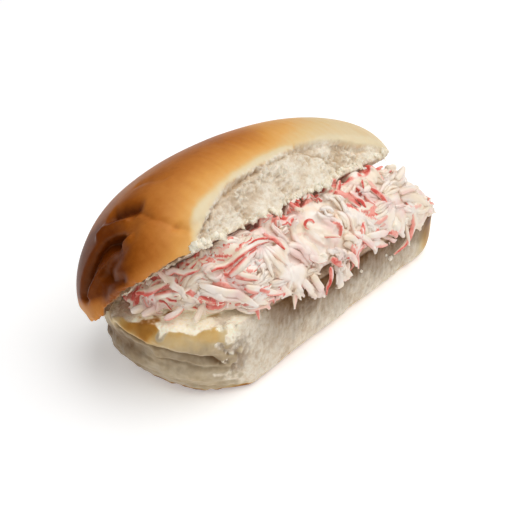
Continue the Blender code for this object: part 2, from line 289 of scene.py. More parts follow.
def on_rough_lid(place):
    """Whether a place on the lid needs the finer mesh: its torn sides and its folded near end."""
    share, p, _ = place
    on_side = share > 0.2 and abs(p.y) > HALF_WIDTH - TORN_BAND
    return on_side or (p.x < FOLDED_END and (share < 0.9 or p.z < 1.0))


lid = even_copy("roll_lid", "lid_bread", FINE, 4)
bm = detailed(lid, lid_crumb, on_rough_lid)
looks = {"crumb": [], "browning_and_painted_shade": [], "shade": [], "painted_glow": []}
moves = []
lid_rim = []
for vert in bm.verts:
    share, p, up = lid_crumb(vert.co, vert.normal)
    side = max(0.0, HALF_WIDTH - abs(p.y))
    near = smooth(-40.0, -52.0, p.x)
    level = CROWN_BROWN * (1.0 - math.exp(-(side + 0.9) / (3.8 + 3.4 * smooth(-2.0, 22.0, p.x))))
    level -= 0.2 * smooth(1.1, 0.1, side)
    level *= 1.0 - 0.76 * smooth(-4.0, 48.0, p.x + 7.0 * noise.noise(vert.co / 14.0))
    end = smooth(-50.0, -62.0, p.x)
    level += end * (0.04 + 0.2 * smooth(10.0, 26.0, side))
    level += near * 0.14 * smooth(3.0, 0.0, side)
    level += 0.05 * near
    level -= 0.45 * smooth(5.5, 0.0, p.z) * (1.0 - 0.6 * near * smooth(6.0, -2.0, p.y))
    level += 0.05 * noise.noise(vert.co / 9.0)
    level *= 1.0 - share
    # Painted shade, from 0 to 1: how much the colour is darkened where shade falls.
    painted_shade = 0.0
    torn = torn_side(p)
    corner = smooth(-33.0, -43.0, p.x)
    height = torn_height(p, 1.0, 1.0)
    move = vert.normal * share * (height * (0.35 + 0.75 * torn) * (1.0 + 0.6 * corner) - 0.2)
    # Crumb is browned in the hollows of its texture: painted shade.
    level += share * 0.5 * smooth(0.2, -0.9, height)
    # A valley where the crumb pulled away under the crust, browned as painted shade, and a ragged lower
    # edge.
    if torn > 0.0:
        below = along_line(CRUMB_TOP, p.x) - p.z
        patchy = smooth(-0.35, 0.25, waver(p.x / 4.5, 7.0, 1.0))
        patchy *= smooth(17.0, 8.0, p.x)
        wander = 0.7 * waver(p.x / 3.0, 1.0, 5.0)
        valley = torn * math.exp(-((below - 1.8 - wander) / 0.7) ** 2)
        valley *= 0.25 + 0.75 * patchy
        move -= vert.normal * VALLEY_DEPTH * valley
        level += 0.35 * valley
        if p.y < 0.0:
            # The step and the tear are pressed in, and browned and darkened as painted shade.
            stepped = smooth(-0.8, 0.8, p.x - along_line(STEP, p.z)) * smooth(58.0, 30.0, p.x)
            streak = fold_depth(p.x, p.z, TEAR, TEAR_REACH)
            move -= vert.normal * torn * (STEP_DEPTH * stepped * share + TEAR_DEPTH * streak)
            level += torn * (0.6 * streak + 0.08 * stepped * smooth(0.0, 4.0, below))
            painted_shade += 0.08 * torn * stepped * share * smooth(28.0, 12.0, p.x)
        ragged = 0.35 + 1.3 * smooth(-0.3, 0.3, waver(p.x / 8.0, 2.0, 2.0))
        chunks = waver(p.x / 4.2, 21.0, 2.0)
        chunks += 0.5 * waver(p.x / 1.9, 4.0, p.z / 3.0)
        spikes = max(0.0, waver(p.x / 1.9, 3.0, p.z / 4.0) - 0.1)
        spikes += max(0.0, waver(p.x / 3.4, 9.0, p.z / 5.0)) * 0.8
        move -= up * torn * smooth(3.0, 0.0, p.z) * ragged * (1.9 * chunks + spikes * 1.9 - 0.3)
    if near > 0.0 and torn < 0.5:
        # Just inside the near rim the underside is darkened and browned: a painted shadow.
        hidden = near * share * smooth(9.0, 4.0, p.x - lid_end(p.y))
        painted_shade += 0.9 * hidden
        level += 0.5 * hidden
        flakes = max(0.0, noise.noise(Vector((p.x, p.y, 9.0)) / 2.2)) * 1.4
        flakes += max(0.0, noise.noise(Vector((p.x, p.y, 3.0)) / 0.9)) * 0.6
        tip = 2.2 * math.exp(-((p.y - 9.5) / 3.6) ** 2) * smooth(-58.0, -63.0, p.x)
        move -= up * near * smooth(2.2, 0.0, p.z) * (flakes * 1.3 - 0.4 + tip)
    if p.x < -30.0 and p.y < HALF_WIDTH - TORN_BAND and share < 0.9:
        # The folds are pressed in and darkened with painted shade at their bottoms.
        for line, reach, depth in LID_FOLDS:
            dent = fold_depth(p.y, p.z, line, reach) * (1.0 - share)
            move -= vert.normal * depth * dent
            level += 0.1 * dent * max(0.0, depth) / 2.0
            painted_shade += 0.7 * dent * smooth(1.0, 3.0, depth)
    ribs = waver(p.x / 1.7, side / 7.0, 3.0) * smooth(14.0, 3.0, side) * (1.0 - share)
    move += vert.normal * RIB_DEPTH * ribs
    level += 0.05 * ribs
    # A painted glow on the torn crumb, strongest at the lower rim and rising towards the far end, to
    # lighten it in shade.
    rim_painted_glow = 0.4 * smooth(3.0, 0.5, abs(p.z)) + 0.14 * smooth(-10.0, 40.0, p.x)
    keep_looks(looks, share, level, painted_shade, share * torn * rim_painted_glow)
    moves.append(move)
    if abs(p.z) < 1.2 and torn > 0.5:
        lid_rim.append((vert, -up))
for vert, move in zip(bm.verts, moves):
    vert.co += move
end_skin = [vert for vert, share in zip(bm.verts, looks["crumb"]) if vert.co.x < -50.0 and share < 0.4]
soften(bm, end_skin, 3)
bm.normal_update()
rim_spots = [(vert.co.copy(), vert.normal.copy(), down) for vert, down in lid_rim]


def node(tree, kind, **settings):
    made = tree.nodes.new("ShaderNode" + kind)
    for key, value in settings.items():
        if key in made.inputs:
            made.inputs[key].default_value = value
        else:
            setattr(made, key, value)
    return made


def ramp(tree, factor, stops):
    made = tree.nodes.new("ShaderNodeValToRGB")
    elements = made.color_ramp.elements
    while len(elements) < len(stops):
        elements.new(0.5)
    for element, (place, colour) in zip(elements, stops):
        element.position = place
        element.color = colour
    tree.links.new(factor, made.inputs["Fac"])
    return made.outputs["Color"]


def feed(tree, sockets, values):
    """Give each socket its value, or link it where the value is another node's output."""
    for socket, value in zip(sockets, values):
        if isinstance(value, bpy.types.NodeSocket):
            tree.links.new(value, socket)
        else:
            socket.default_value = value


def mixed(tree, factor, a, b, blend="MIX"):
    made = node(tree, "Mix", data_type="RGBA", blend_type=blend)
    feed(tree, (made.inputs[0], made.inputs[6], made.inputs[7]), (factor, a, b))
    return made.outputs[2]


def maths(tree, operation, a, b, clamp=False):
    made = node(tree, "Math", operation=operation, use_clamp=clamp)
    feed(tree, made.inputs, (a, b))
    return made.outputs[0]


def noise_of(tree, size, detail, roughness=0.5):
    """Noise whose lumps measure a size in millimetres."""
    where = node(tree, "TexCoord")
    made = node(tree, "TexNoise", Scale=1000.0 / size, Detail=detail, Roughness=roughness)
    tree.links.new(where.outputs["Object"], made.inputs["Vector"])
    return made.outputs["Fac"]


def attribute(tree, name):
    return node(tree, "Attribute", attribute_name=name).outputs["Fac"]


def bump(tree, height, strength, distance):
    made = node(tree, "Bump", Strength=strength, Distance=distance)
    tree.links.new(height, made.inputs["Height"])
    return made.outputs["Normal"]


def new_material(name, settings):
    """A material with its constants set, and its node tree and shader."""
    material = bpy.data.materials.new(name)
    material.use_nodes = True
    shader = material.node_tree.nodes["Principled BSDF"]
    for socket, value in settings.items():
        shader.inputs[socket].default_value = value
    return material, material.node_tree, shader


CRUST_COLOURS = [
    (0.0, srgb(226, 209, 174)),
    (0.2, srgb(226, 193, 138)),
    (0.38, srgb(228, 171, 97)),
    (0.54, srgb(219, 153, 75)),
    (0.68, srgb(203, 132, 60)),
    (0.8, srgb(185, 110, 41)),
    (0.9, srgb(152, 80, 16)),
    (1.0, srgb(108, 46, 0)),
]
CRUMB_PALE = srgb(244, 234, 217)
CRUMB_WARM = srgb(228, 210, 184)
# Warm brown for painted shade in the crumb's hollows, valleys and tear.
CRUMB_PAINTED_SHADE = srgb(184, 148, 106)
# The colour of the crumb's painted glow.
CRUMB_PAINTED_GLOW = srgb(228, 228, 200)
# Painted shade, multiplied into the colour where the shade attribute says: grey-brown on crumb and on the
# base's skin, deep brown on the lid's crust.
PAINTED_SHADE_GREY_BROWN = srgb(130, 104, 80)
PAINTED_SHADE_BROWN = srgb(132, 74, 26)


def bread_material(name, crust_stops, crease):
    """Glossy crust or skin, and dull open crumb where the crumb attribute says so, with painted shade and
    a painted glow where their attributes say so.
    """
    material, tree, shader = new_material(name, {
        # The strength of the painted glow.
        "Emission Strength": 0.36,
        "Subsurface Weight": 0.2,
        "Subsurface Radius": (1.0, 0.75, 0.55),
        "Subsurface Scale": 0.0015,
        "Specular IOR Level": 0.25,
        "Specular Tint": (1.0, 0.78, 0.5, 1.0),
    })
    is_crumb = attribute(tree, "crumb")
    browning_and_shade = attribute(tree, "browning_and_painted_shade")
    uneven = maths(tree, "SUBTRACT", noise_of(tree, 2.4, 4.0, 0.7), 0.5)
    mottle = maths(tree, "MULTIPLY", uneven, 0.12)
    crust = ramp(tree, maths(tree, "ADD", browning_and_shade, mottle, clamp=True), crust_stops)
    crumb_tone = ramp(tree, noise_of(tree, 1.8, 6.0, 0.7), [(0.36, CRUMB_WARM), (0.56, CRUMB_PALE)])
    # Crumb takes painted shade as a warm brown where its browning value is high.
    crumb_with_painted_shade = mixed(tree, browning_and_shade, crumb_tone, CRUMB_PAINTED_SHADE)
    bread = mixed(tree, is_crumb, crust, crumb_with_painted_shade)
    # Painted shade: the bread's colour multiplied by a shade tint; the crease argument is the tint for
    # crust or skin.
    shadow = mixed(tree, is_crumb, crease, PAINTED_SHADE_GREY_BROWN)
    with_painted_shade = mixed(tree, attribute(tree, "shade"), bread, shadow, "MULTIPLY")
    tree.links.new(with_painted_shade, shader.inputs["Base Color"])
    # Painted glow: the crumb gives out light where its glow value says, to lighten it in shade.
    painted_glow_colour = mixed(tree, attribute(tree, "painted_glow"), (0.0, 0.0, 0.0, 1.0), CRUMB_PAINTED_GLOW)
    tree.links.new(painted_glow_colour, shader.inputs["Emission Color"])
    rough = node(tree, "MapRange")
    rough.inputs["To Min"].default_value = 0.42
    rough.inputs["To Max"].default_value = 0.85
    tree.links.new(is_crumb, rough.inputs["Value"])
    tree.links.new(rough.outputs["Result"], shader.inputs["Roughness"])
    pores = bump(tree, noise_of(tree, 0.8, 5.0, 0.7), 0.8, 0.0006)
    skin = bump(tree, noise_of(tree, 1.6, 4.0, 0.6), 0.25, 0.0002)
    grain = node(tree, "Mix", data_type="VECTOR")
    feed(tree, (grain.inputs[0], grain.inputs[4], grain.inputs[5]), (is_crumb, skin, pores))
    tree.links.new(grain.outputs[1], shader.inputs["Normal"])
    return material


def finish_bread(bread, bm, looks, material):
    """Write a bread piece's shape, the values that its material reads, and the material."""
    bread_trees.append(BVHTree.FromBMesh(bm))
    bmesh.ops.transform(bm, matrix=Matrix.Scale(MM, 4), verts=bm.verts)
    bm.to_mesh(bread.data)
    bm.free()
    for name, values in looks.items():
        set_floats(bread.data, name, values)
    bread.data.shade_smooth()
    bread.data.materials.clear()
    bread.data.materials.append(material)


bread_trees = []
lid_finish = bread_material("lid crust and crumb", CRUST_COLOURS, PAINTED_SHADE_BROWN)
finish_bread(lid, bm, looks, lid_finish)
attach(lid, "root")
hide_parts("roll_lid")


# The base: the lower half of the same roll, with a soft pale skin at its ends, a golden rim where
# the end crust was cut through, torn crumb along both sides and a thin brown crust below.

BASE_SHIFT = 3.4
BASE_FRONT_HEIGHT = 24.8
BASE_BACK_HEIGHT = 13.6
BASE_FALL = 0.118


def base_plan(point):
    """Where a point lies in the loaf's own frame, and how high up the base it is from 0 to 1."""
    p = point + PLAN_MIDDLE
    across = (p.y / HALF_WIDTH + 1.0) / 2.0
    level_top = BASE_FRONT_HEIGHT + (BASE_BACK_HEIGHT - BASE_FRONT_HEIGHT) * across
    return p, p.z / (level_top - BASE_FALL * (p.x - BASE_SHIFT))


# Skin folds and tears across the base's near end, in the same form as the lid's.
BASE_FOLDS = (
    (((6.0, 22.0), (-2.4, 21.0), (-11.2, 21.2), (-17.6, 20.0), (-22.6, 18.2), (-25.5, 14.5)), 1.5, 2.3),
    (((6.0, 25.2), (-2.4, 24.6), (-11.2, 25.2), (-17.6, 24.0), (-22.6, 22.0)), 3.2, -1.8),
    (((-9.0, 16.0), (-17.6, 15.2), (-21.5, 13.0), (-24.3, 13.0), (-27.0, 12.2)), 1.2, 1.3),
    (((-9.0, 17.8), (-17.6, 17.4), (-21.5, 15.4), (-24.8, 15.0)), 1.7, -1.3),
    (((2.0, 7.0), (-8.0, 6.8), (-14.9, 6.2), (-22.6, 4.2), (-28.0, 2.0)), 1.0, 0.7),
    (((-12.6, 31.0), (-13.0, 28.4), (-12.4, 26.6)), 1.8, -1.0),
)
NOTCH = BASE_FOLDS[5][0]     # the nick in the rim, where crumb spills over the skin

SKIN_COLOURS = [
    (0.0, srgb(228, 214, 186)),
    (0.2, srgb(228, 205, 160)),
    (0.4, srgb(222, 182, 112)),
    (0.6, srgb(196, 138, 62)),
    (1.0, srgb(122, 70, 22)),
]


def base_crumb(point, normal):
    """How much of a point on the base is crumb rather than skin."""
    p, rise = base_plan(point)
    ragged = ragged_edge(point)
    near = smooth(-40.0, -50.0, p.x)
    flaky = 5.5 * near * smooth(0.02, 0.2, rise) * (0.35 + noise.noise(point / 3.2))
    torn = smooth(HALF_WIDTH - 1.9, HALF_WIDTH - 0.8, abs(p.y) + 1.4 * ragged + flaky)
    torn *= smooth(0.02, 0.05, rise)
    torn *= smooth(50.0, 45.0, p.x + 3.0 * ragged)
    spill = 0.5 * noise.noise(point / 3.5) + 0.3 * ragged
    spill += 0.8 * fold_depth(p.y, p.z, NOTCH, 2.6)
    spill -= 0.5 * math.exp(-((p.y + 6.0) / 4.5) ** 2)
    cut = smooth(0.45, 0.75, normal.z + spill * near) * smooth(0.75, 0.85, rise)
    return max(torn, cut), p, rise


def on_rough_base(place):
    """Whether a place on the base needs the finer mesh: its torn sides and its wrinkled near end."""
    share, p, rise = place
    on_side = share > 0.2 and abs(p.y) > HALF_WIDTH - TORN_BAND
    return on_side or (p.x < FOLDED_END and rise > 0.02)


base = even_copy("roll_base", "base_bread", FINE, 4)
bm = detailed(base, base_crumb, on_rough_base)
looks = {"crumb": [], "browning_and_painted_shade": [], "shade": [], "painted_glow": []}
moves = []
for vert in bm.verts:
    share, p, rise = base_crumb(vert.co, vert.normal)
    notch = fold_depth(p.y, p.z, NOTCH, 2.4) * smooth(-40.0, FOLDED_END, p.x)
    uneven = 0.05 * noise.noise(vert.co / 3.5) + 0.02 * noise.noise(vert.co / 1.2)
    band = smooth(0.66, 0.93, rise + uneven) * (1.0 - smooth(0.15, 0.5, notch))
    side = max(0.0, HALF_WIDTH - abs(p.y))
    near = smooth(-42.0, -52.0, p.x)
    patch = math.exp(-((p.y + 6.0) / 5.0) ** 2)
    golden = 0.31 + 0.42 * patch + 0.16 * noise.noise(vert.co / 3.0)
    golden *= 0.3 + 0.7 * smooth(9.0, 1.0, p.y)
    level = 0.04 + band * golden * smooth(0.5, 4.0, side)
    level += 0.46 * smooth(48.0, 54.0, p.x) * smooth(0.1, 0.3, rise)
    level += 0.8 * smooth(0.10, 0.02, rise + 0.04 * noise.noise(vert.co / 2.5))
    level += 0.07 * noise.noise(vert.co / 6.0)
    height = torn_height(p, 2.0, 1.8)
    # Crumb is browned in the hollows of its texture: painted shade.
    level = max(0.0, level) * (1.0 - share) + share * 0.4 * smooth(0.2, -0.9, height)
    torn = torn_side(p)
    # Painted shadow: the torn side is darker towards its top, under the filling's overhang, broken along
    # its fibres, fading out towards the near end and deepest in the middle.
    fibres = waver(p.x / 1.1, p.z / 3.6, 4.0)
    fibres += 0.6 * waver(p.x / 2.6, p.z / 4.0, 8.0)
    shadow_under_filling = smooth(0.0, 1.05, rise + 0.15 * noise.noise(vert.co / 7.0) + 0.13 * fibres)
    painted_shade = torn * shadow_under_filling * smooth(-52.0, -26.0, p.x)
    middle = smooth(24.0, -6.0, p.x) * smooth(-40.0, -10.0, p.x)
    painted_shade += 0.3 * torn * smooth(0.5, 0.95, rise) * middle
    # Painted shade on the far end's skin.
    painted_shade += 0.14 * smooth(40.0, 54.0, p.x) * (1.0 - share)
    # Painted shade over the near end's skin: mottled, heavier in a band halfway up and towards the back,
    # and light on the golden rim.
    blotch = noise.fractal(vert.co / 2.6, 0.6, 2.0, 4)
    shaded = 0.43 + 0.13 * blotch + 0.14 * smooth(0.35, 0.55, rise) * smooth(0.9, 0.7, rise)
    shaded += 0.3 * smooth(-8.0, 6.0, p.y)
    painted_shade += near * (1.0 - torn) * (1.0 - share) * (1.0 - 0.8 * band) * shaded
    corner = near * smooth(-23.0, -27.0, p.y) * smooth(0.2, 0.4, rise)
    move = vert.normal * share * (height * (0.4 + 0.25 * torn + 0.9 * corner) - 0.2)
    move += vert.normal * share * corner * 1.1 * cottony(vert.co + Vector((3.0, 1.0, 0.0)), 4.2)
    # Painted shade in the pits of the crumbly corner.
    painted_shade += 0.5 * share * corner * smooth(0.1, -0.5, height)
    skin = (1.0 - share) * near
    wrinkles = waver(p.y / 5.0, p.z / 1.3, p.x / 2.0)
    swells = 0.6 * noise.noise(vert.co / 6.0) + 0.4 * noise.noise(vert.co / 2.4)
    move += vert.normal * skin * (swells + 0.3 * wrinkles)
    if p.x < -40.0:
        # The folds are pressed in and darkened with painted shade.
        for line, reach, depth in BASE_FOLDS:
            dent = fold_depth(p.y, p.z, line, reach) * (1.0 - smooth(0.5, 1.0, share))
            move -= vert.normal * depth * dent
            painted_shade += 0.5 * dent * smooth(1.0, 2.5, depth)
    # A painted glow on the cut crumb of the near end's ledge, weaker in its pits, to light it in the
    # filling's shade.
    pits = 1.0 - 0.5 * smooth(0.3, -0.6, height)
    ledge_painted_glow = share * near * (1.0 - torn) * smooth(0.7, 0.9, rise) * smooth(4.0, -4.0, p.y)
    keep_looks(looks, share, level, painted_shade, ledge_painted_glow * pits)
    moves.append(move)
for vert, move in zip(bm.verts, moves):
    vert.co += move
    vert.co.z = max(vert.co.z, 0.0)
end_skin = [vert for vert, share in zip(bm.verts, looks["crumb"]) if vert.co.x < -50.0 and share < 0.5]
soften(bm, [vert for vert in end_skin if vert.co.z > 1.5], 2)
finish_bread(base, bm, looks, bread_material("base skin and crumb", SKIN_COLOURS, PAINTED_SHADE_GREY_BROWN))
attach(base, "root")
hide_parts("roll_base")


# The filling: surimi sticks pulled apart into fibrous strips about 2 mm wide, white inside with red
# skin along one side, and tossed in mayonnaise, which binds them into one soft heap.

HEART_SINK = 1.5       # how far the heap's packed heart lies under its shreds in the open
LID_PRESS = 0.7        # how far the filling wells up where the lid presses on it
LID_SHADOW = 2.8       # how deep the gap is where the filling stays clear of the lid
HEAP_SPACING = 0.55
BOUND_SHREDS = 400
LOOSE_SHREDS = 370
NEAR_SHREDS = 60
RIM_SHREDS = 90
FREE_SHREDS = 40
HANGING_SHREDS = 22
SHRED_SIDES = 8
SHRED_RINGS = 13
OVAL_POWER = 2.6       # a strip's section lies between an ellipse and a box
ROOM_END = 75.0        # the filling stays this near the roll's middle along it
ROOM_FRONT = -34.6     # and behind this place on the open side
ROOM_FLOOR = 3.0
# How many of the bundles are red at places along the roll: (along, share).
RED_SHARES = (
    (-60.0, 0.6), (-42.0, 0.5), (-30.0, 0.17), (0.0, 0.2), (10.0, 0.42), (24.0, 0.4), (34.0, 0.25),
)
RAY = Vector((0.36, -0.48, 0.80))


def inside(tree, point):
    """Whether a point lies inside a closed body: a ray from it then leaves an odd number of times."""
    crossings = 0
    hit = tree.ray_cast(point, RAY)[0]
    while hit is not None:
        crossings += 1
        hit = tree.ray_cast(hit + RAY * 0.001, RAY)[0]
    return crossings % 2 == 1


def clear_of_bread(points, gap):
    """Whether points keep off the bread and within the room that the filling has."""
    for point in points:
        if abs(point.x) > ROOM_END or point.y < ROOM_FRONT or point.z < ROOM_FLOOR:
            return False
        if any(tree.find_nearest(point)[3] < gap or inside(tree, point) for tree in bread_trees):
            return False
    return True


def from_bread(point):
    """How far a point lies from the nearest bread."""
    return min(tree.find_nearest(point)[3] for tree in bread_trees)


heap = even_copy("surimi_salad", "salad_heap", FINE, 8)
heart = bmesh.new()
heart.from_mesh(heap.data)
heart.normal_update()
sunk = []
for vert in heart.verts:
    lid_gap, base_gap = (tree.find_nearest(vert.co)[3] for tree in bread_trees)
    open_air = smooth(0.8, 4.0, min(lid_gap, base_gap))
    sink = HEART_SINK * open_air * smooth(0.5, 5.0, base_gap)
    press = 0.5 * (1.0 - open_air) + 1.1 * open_air * noise.noise(vert.co / 7.5)
    clear = smooth(-0.3, 0.15, waver(vert.co.x / 6.5, 3.0, 5.0))
    clear *= max(smooth(-6.0, -13.0, vert.co.y), smooth(-46.0, -54.0, vert.co.x))
    press += LID_PRESS * smooth(3.2, 0.8, lid_gap) * (1.0 - clear)
    press -= LID_SHADOW * smooth(5.0, 2.0, lid_gap) * clear
    # The near end of the base stays bare as a ledge.
    back = smooth(-40.0, -55.0, vert.co.x) * (0.5 + 0.4 * smooth(46.0, 33.0, vert.co.z))
    sunk.append(vert.co - vert.normal * (sink - press) + Vector((5.6, 4.2, 0.0)) * back)
for vert, place in zip(heart.verts, sunk):
    vert.co = place
heart.normal_update()
heart_tree = BVHTree.FromBMesh(heart)

spots = [face.calc_center_median() for face in heart.faces if face.normal.z > -0.5]
spots = [spot for spot in spots if from_bread(spot) > 0.9]

bm = bmesh.new()
bmesh.ops.create_cone(bm, cap_ends=True, segments=SHRED_SIDES, radius1=1.0, radius2=1.0, depth=2.0)
long_edges = [e for e in bm.edges if abs(e.verts[0].co.z - e.verts[1].co.z) > 1.0]
bmesh.ops.subdivide_edges(bm, edges=long_edges, cuts=SHRED_RINGS - 2)
plain_strip = bpy.data.meshes.new("strip")
bm.to_mesh(plain_strip)
bm.free()


def lying_path(start, heading, length, bow, lift, aside=0.0, fan=0.0):
    """Points along a shred on the heap, each with the direction out of the heap there.

    Shreds of one bundle run side by side, closer at one end where they still hold together.
    """
    point, normal, _, _ = heart_tree.find_nearest(start)
    heading = (heading - normal * heading.dot(normal)).normalized()
    side = normal.cross(heading)
    path = []
    for step in range(SHRED_RINGS):
        t = 2.0 * step / (SHRED_RINGS - 1) - 1.0
        sway = bow * t * t + aside * (1.0 + fan * t)
        sway += 0.4 * noise.noise(point + Vector((aside, t * 1.5, lift)))
        guide = point + heading * (t * length / 2) + side * sway
        near, out, _, _ = heart_tree.find_nearest(guide)
        path.append((near.lerp(guide, 0.3) + out * (lift * (1.0 - 0.7 * t * t) + 0.3), out))
    return path


def drawn_path(points, lift, most):
    """A shred drawn through points, kept between its lift and a greatest height off the heap."""
    points = [Vector(point) for point in points]
    path = []
    for step in range(SHRED_RINGS):
        t = step / (SHRED_RINGS - 1) * (len(points) - 1)
        index = min(int(t), len(points) - 2)
        t -= index
        a, b, c, d = (points[max(0, min(len(points) - 1, index + k))] for k in (-1, 0, 1, 2))
        here = (b * 2.0 + (c - a) * t + (a * 2.0 - b * 5.0 + c * 4.0 - d) * t ** 2
                + (b * 3.0 - a - c * 3.0 + d) * t ** 3) * 0.5
        near, out, _, _ = heart_tree.find_nearest(here)
        height = (here - near).dot(out)
        path.append((here + out * (max(lift, min(most, height)) - height), out))
    return path


def free_path(start, heading, length, droop):
    """A shred held at one end: it comes out of the heap and sinks under its own weight."""
    point, normal, _, _ = heart_tree.find_nearest(start)
    path = []
    for step in range(SHRED_RINGS):
        t = step / (SHRED_RINGS - 1)
        here = point - normal * 0.6 + heading * (t * length) - Vector((0.0, 0.0, droop * t * t))
        path.append((here, normal))
    return path


def add_shred(bm, path, width, thickness, skin_angle, redness, seed):
    """Lay one strip along a path: a flat oval in section, ragged along it and frayed at its ends."""
    first = len(bm.verts)
    bm.from_mesh(plain_strip)
    bm.verts.ensure_lookup_table()
    skin = bm.verts.layers.float["skin"]
    frames = []
    for index, (point, out) in enumerate(path):
        ahead = path[min(index + 1, len(path) - 1)][0] - path[max(index - 1, 0)][0]
        across = ahead.cross(out).normalized()
        if frames:
            across = (across + frames[-1][1] * 2.0).normalized()
        frames.append((point, across, across.cross(ahead).normalized()))
    for vert in bm.verts[first:]:
        along = (vert.co.z + 1.0) / 2.0
        angle = math.atan2(vert.co.y, vert.co.x)
        point, across, up = frames[round(along * (SHRED_RINGS - 1))]
        taper = (0.62 + 0.38 * smooth(0.0, 0.2, along)) * (0.42 + 0.58 * smooth(1.0, 0.55, along))
        square = abs(math.cos(angle)) ** OVAL_POWER + abs(math.sin(angle)) ** OVAL_POWER
        square **= -1.0 / OVAL_POWER
        fibre = Vector((math.cos(angle) * 1.8, math.sin(angle) * 1.8, along * 1.6 + seed))
        reach = taper * square * (1.0 + 0.3 * noise.noise(fibre))
        turn = angle + 0.9 * (along - 0.5) * math.sin(seed)
        vert.co = point + across * (math.cos(turn) * width / 2 * reach)
        vert.co += up * (math.sin(turn) * thickness / 2 * reach)
        vert[skin] = redness * smooth(0.3, 0.9, math.cos(angle - skin_angle))


def heading_at(spot, rng):
    """Shreds lie along the roll near its near end and hang down over the open side further on.

    Neighbours lie alike, because the filling was pushed in by the handful.
    """
    swirl = 1.5 * noise.noise(spot / 11.0) + rng.gauss(0.0, 0.28)
    lean = swirl - 0.05 if spot.x < -34.0 else swirl - 0.95 if spot.x < 12.0 else swirl - 0.5
    return Vector((math.cos(lean), -0.45 * abs(math.sin(lean)), math.sin(lean)))


def skin_of(red, rng):
    """Where on a shred its red skin lies, and how strong it is."""
    if not red:
        return rng.choice((0.0, math.pi)), rng.uniform(0.0, 0.3) * rng.random()
    if rng.random() < 0.3:
        return math.pi / 2, rng.uniform(0.3, 0.8)
    return rng.choice((0.0, math.pi, 0.4, math.pi - 0.4)), rng.uniform(0.6, 1.0)


def shred_plans(wanted, lifts, places, rng):
    """Bundles of shreds that still lie side by side as they came apart."""
    laid = 0
    while laid < wanted:
        spot = rng.choice(places)
        heading = heading_at(spot, rng)
        lift = rng.uniform(*lifts)
        length = rng.uniform(6.0, 13.0)
        bow = rng.uniform(-1.8, 1.8)
        girth = rng.uniform(1.3, 2.4)
        fan = rng.uniform(0.0, 0.95)
        red_bundle = rng.random() < along_line(RED_SHARES, spot.x)
        members = rng.choice((1, 1, 2, 2, 3, 3, 4))
        for member in range(members):
            aside = (member - (members - 1) / 2) * girth * 0.85
            own_length = length * rng.uniform(0.7, 1.2)
            own_lift = lift + rng.uniform(-0.3, 0.3)
            path = lying_path(spot, heading, own_length, bow, own_lift, aside, fan)
            angle, redness = skin_of(red_bundle and rng.random() < 0.6, rng)
            shape = girth * rng.uniform(0.75, 1.15), rng.uniform(1.0, 1.6)
            if clear_of_bread([point for point, _ in path[::3]], 0.5):
                laid += 1
                yield path, *shape, angle, redness, rng.uniform(0.0, 90.0)


rng = random.Random(8)
strips = bmesh.new()
strips.verts.layers.float.new("skin")
for plan in shred_plans(BOUND_SHREDS, (0.3, 1.3), spots, rng):
    add_shred(strips, *plan)
bmesh.ops.recalc_face_normals(strips, faces=strips.faces)
strip_tree = BVHTree.FromBMesh(strips)
strips.faces.ensure_lookup_table()
skin_layer = strips.verts.layers.float["skin"]
strip_skin = [max(vert[skin_layer] for vert in face.verts) for face in strips.faces]
joined = bpy.data.meshes.new("joined")
strips.to_mesh(joined)
strips.free()
heart.from_mesh(joined)
heart.to_mesh(heap.data)
heart.free()
bpy.data.meshes.remove(joined)
bind = heap.modifiers.new("bind", "REMESH")
bind.mode = "VOXEL"
bind.voxel_size = HEAP_SPACING
coat = heap.modifiers.new("coat", "SMOOTH")
coat.iterations = 2
coat.factor = 0.5
bound = bpy.data.meshes.new_from_object(heap.evaluated_get(bpy.context.evaluated_depsgraph_get()))
heap.modifiers.clear()
heap.data = bound
bound.name = "salad_heap"
skin = []
for vert in bound.vertices:
    _, _, index, distance = strip_tree.find_nearest(vert.co)
    dyed = strip_skin[index] * smooth(1.0, 0.3, distance)
    if vert.co.y < -6.0 or vert.co.x < -46.0:
        # Under the lid's edge the red skin shows without mayonnaise on it.
        under = smooth(3.4, 2.2, bread_trees[0].find_nearest(vert.co)[3])
        dyed = max(dyed, 0.9 * under * smooth(-0.25, 0.15, noise.noise(vert.co / 3.0)))
    skin.append(dyed)
set_floats(bound, "skin", skin)
bound.transform(Matrix.Scale(MM, 4))
bound.shade_smooth()

SURIMI_WHITE = srgb(242, 232, 222)
SURIMI_CREAM = srgb(237, 221, 199)
SURIMI_BLUSH = srgb(235, 207, 198)
SURIMI_PINK = srgb(238, 156, 142)
SURIMI_RED = srgb(208, 56, 42)
BLACK = (0.0, 0.0, 0.0, 1.0)
WHITE = (1.0, 1.0, 1.0, 1.0)


